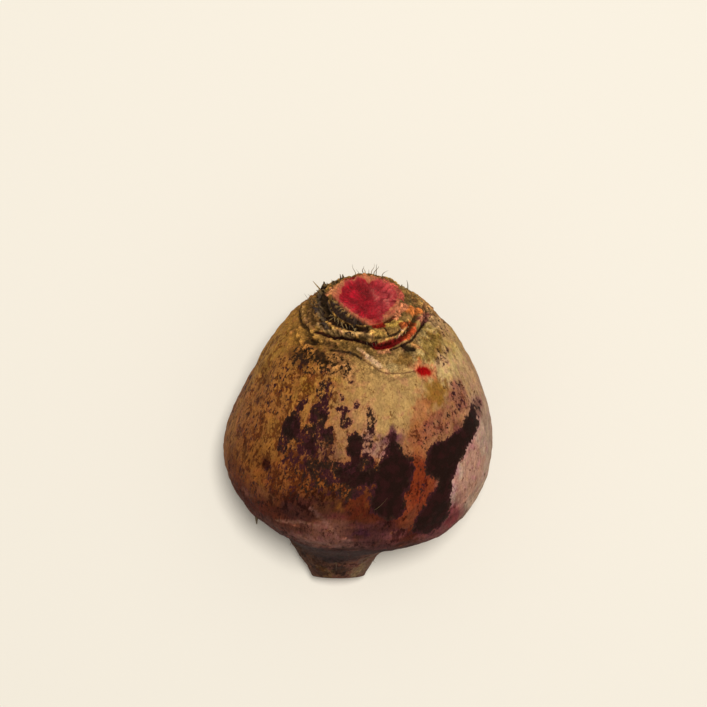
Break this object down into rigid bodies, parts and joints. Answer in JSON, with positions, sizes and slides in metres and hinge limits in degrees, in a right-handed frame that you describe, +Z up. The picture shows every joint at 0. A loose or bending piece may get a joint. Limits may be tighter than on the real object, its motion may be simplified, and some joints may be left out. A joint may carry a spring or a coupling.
{
  "type": "beetroot",
  "caption": "Large whole beetroot lying on its side, with a trimmed crown of old leaf bases and dry bristles, and a tap root cut short.",
  "frame": {"origin": "centre of the bounding box at the level of the surface the root lies on", "axes": "+Z up; +Y towards the crown end, -Y towards the cut tap root; +X across the root. The root's own axis rises 37 degrees from the surface towards +Y"},
  "size_m": [0.085, 0.1018, 0.0829],
  "materials": {
    "skin": "matt corky skin, tan over the shoulders and dark purple in patches"
  },
  "bodies": {
    "root": {"beetroot": "skin"}
  },
  "joints": []
}
